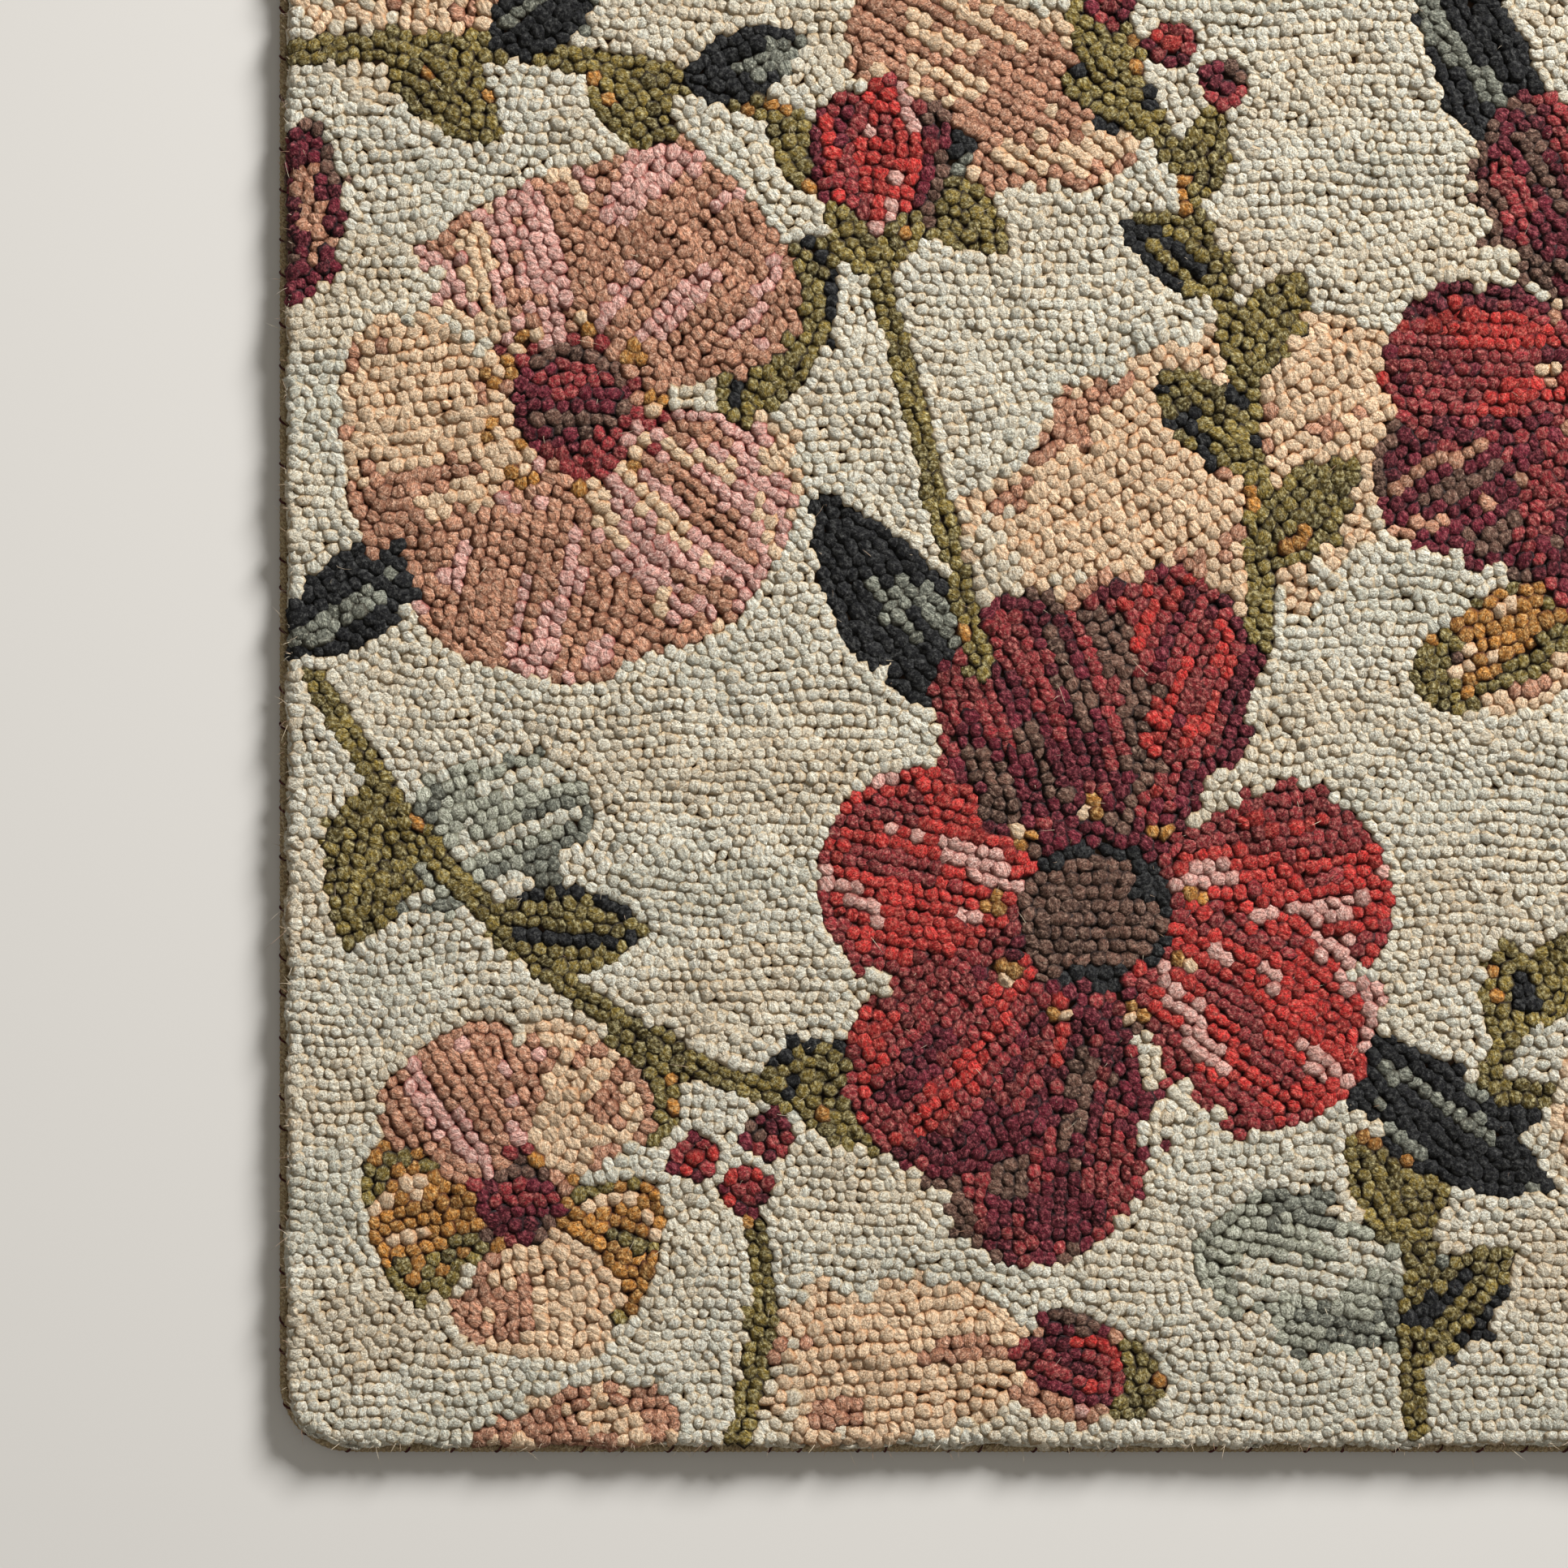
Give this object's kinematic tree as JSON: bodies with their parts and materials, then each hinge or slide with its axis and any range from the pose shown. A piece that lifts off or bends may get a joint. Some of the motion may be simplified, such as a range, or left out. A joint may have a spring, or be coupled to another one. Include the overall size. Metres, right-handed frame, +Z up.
{
  "type": "hooked wool accent rug",
  "caption": "Rectangular accent rug of hooked wool loops in a scattered floral, lying flat, with rounded corners and a whipped cord binding under its overhanging edge.",
  "frame": {"origin": "on the floor under the middle of the rug", "axes": "+Z up through the pile, +Y along the rug's length, +X across its width"},
  "size_m": [0.6858, 1.1428, 0.0125],
  "materials": {
    "looped_wool": "matt heathered wool loops",
    "binding_yarn": "matt whipped wool yarn"
  },
  "bodies": {
    "root": {"hooked_field": "looped_wool", "edge_binding": "binding_yarn"}
  },
  "joints": []
}
